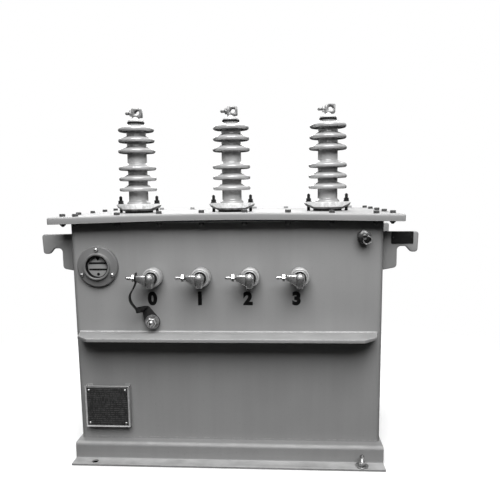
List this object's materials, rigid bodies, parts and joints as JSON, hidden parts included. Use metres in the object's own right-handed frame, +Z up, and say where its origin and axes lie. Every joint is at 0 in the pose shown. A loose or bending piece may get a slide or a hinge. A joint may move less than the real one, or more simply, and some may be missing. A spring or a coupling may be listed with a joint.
{
  "type": "pole mounted transformer",
  "caption": "Pole mounted distribution transformer: welded rectangular tank on base rails, bolted lid with shedded porcelain bushings, low-voltage terminals and oil gauge in front.",
  "frame": {"origin": "on the ground under the middle of the tank, at the centre of the hold-down holes", "axes": "+Z up, +X to the viewer's right along the front wall, -Y out of the front wall with the low-voltage terminals"},
  "size_m": [1.0134, 0.653, 0.9695],
  "materials": {
    "tank_paint": "satin grey enamel",
    "lid_paint": "satin grey enamel",
    "porcelain": "glossy grey glaze",
    "clamp_metal": "bright pressed metal",
    "tinned_metal": "tinned",
    "strap_metal": "dull tinned strap",
    "gasket_rubber": "matte",
    "gauge_metal": "satin",
    "gauge_dial": "glossy",
    "valve_metal": "dull"
  },
  "bodies": {
    "root": {"base_front_rail": "tank_paint", "base_rear_rail": "tank_paint", "front_left_lug": "tank_paint", "front_right_lug": "tank_paint", "front_stiffener": "tank_paint", "gauge_bezel": "gauge_metal", "gauge_window": "gauge_dial", "ground_pad": "tinned_metal", "hv_base_gaskets": "gasket_rubber", "hv_bushing_left": "porcelain", "hv_bushing_middle": "porcelain", "hv_bushing_right": "porcelain", "hv_cap_gaskets": "gasket_rubber", "hv_clamp_left": "clamp_metal", "hv_clamp_middle": "clamp_metal", "hv_clamp_right": "clamp_metal", "hv_terminal_left": "tinned_metal", "hv_terminal_middle": "tinned_metal", "hv_terminal_right": "tinned_metal", "lid": "lid_paint", "lid_gasket": "gasket_rubber", "lower_hanger_bracket": "tank_paint", "lv_bushing_first": "porcelain", "lv_bushing_fourth": "porcelain", "lv_bushing_second": "porcelain", "lv_bushing_third": "porcelain", "lv_cap_gaskets": "gasket_rubber", "lv_gaskets": "gasket_rubber", "lv_terminal_first": "tinned_metal", "lv_terminal_fourth": "tinned_metal", "lv_terminal_second": "tinned_metal", "lv_terminal_third": "tinned_metal", "neutral_strap": "strap_metal", "plate_bracket": "tank_paint", "rear_left_lug": "tank_paint", "rear_right_lug": "tank_paint", "rear_stiffener": "tank_paint", "relief_valve_body": "valve_metal", "relief_valve_cap": "valve_metal", "tank_flange": "tank_paint", "tank_floor": "tank_paint", "tank_front_shell": "tank_paint", "tank_rear_shell": "tank_paint", "upper_hanger_bracket": "tank_paint"}
  },
  "joints": []
}
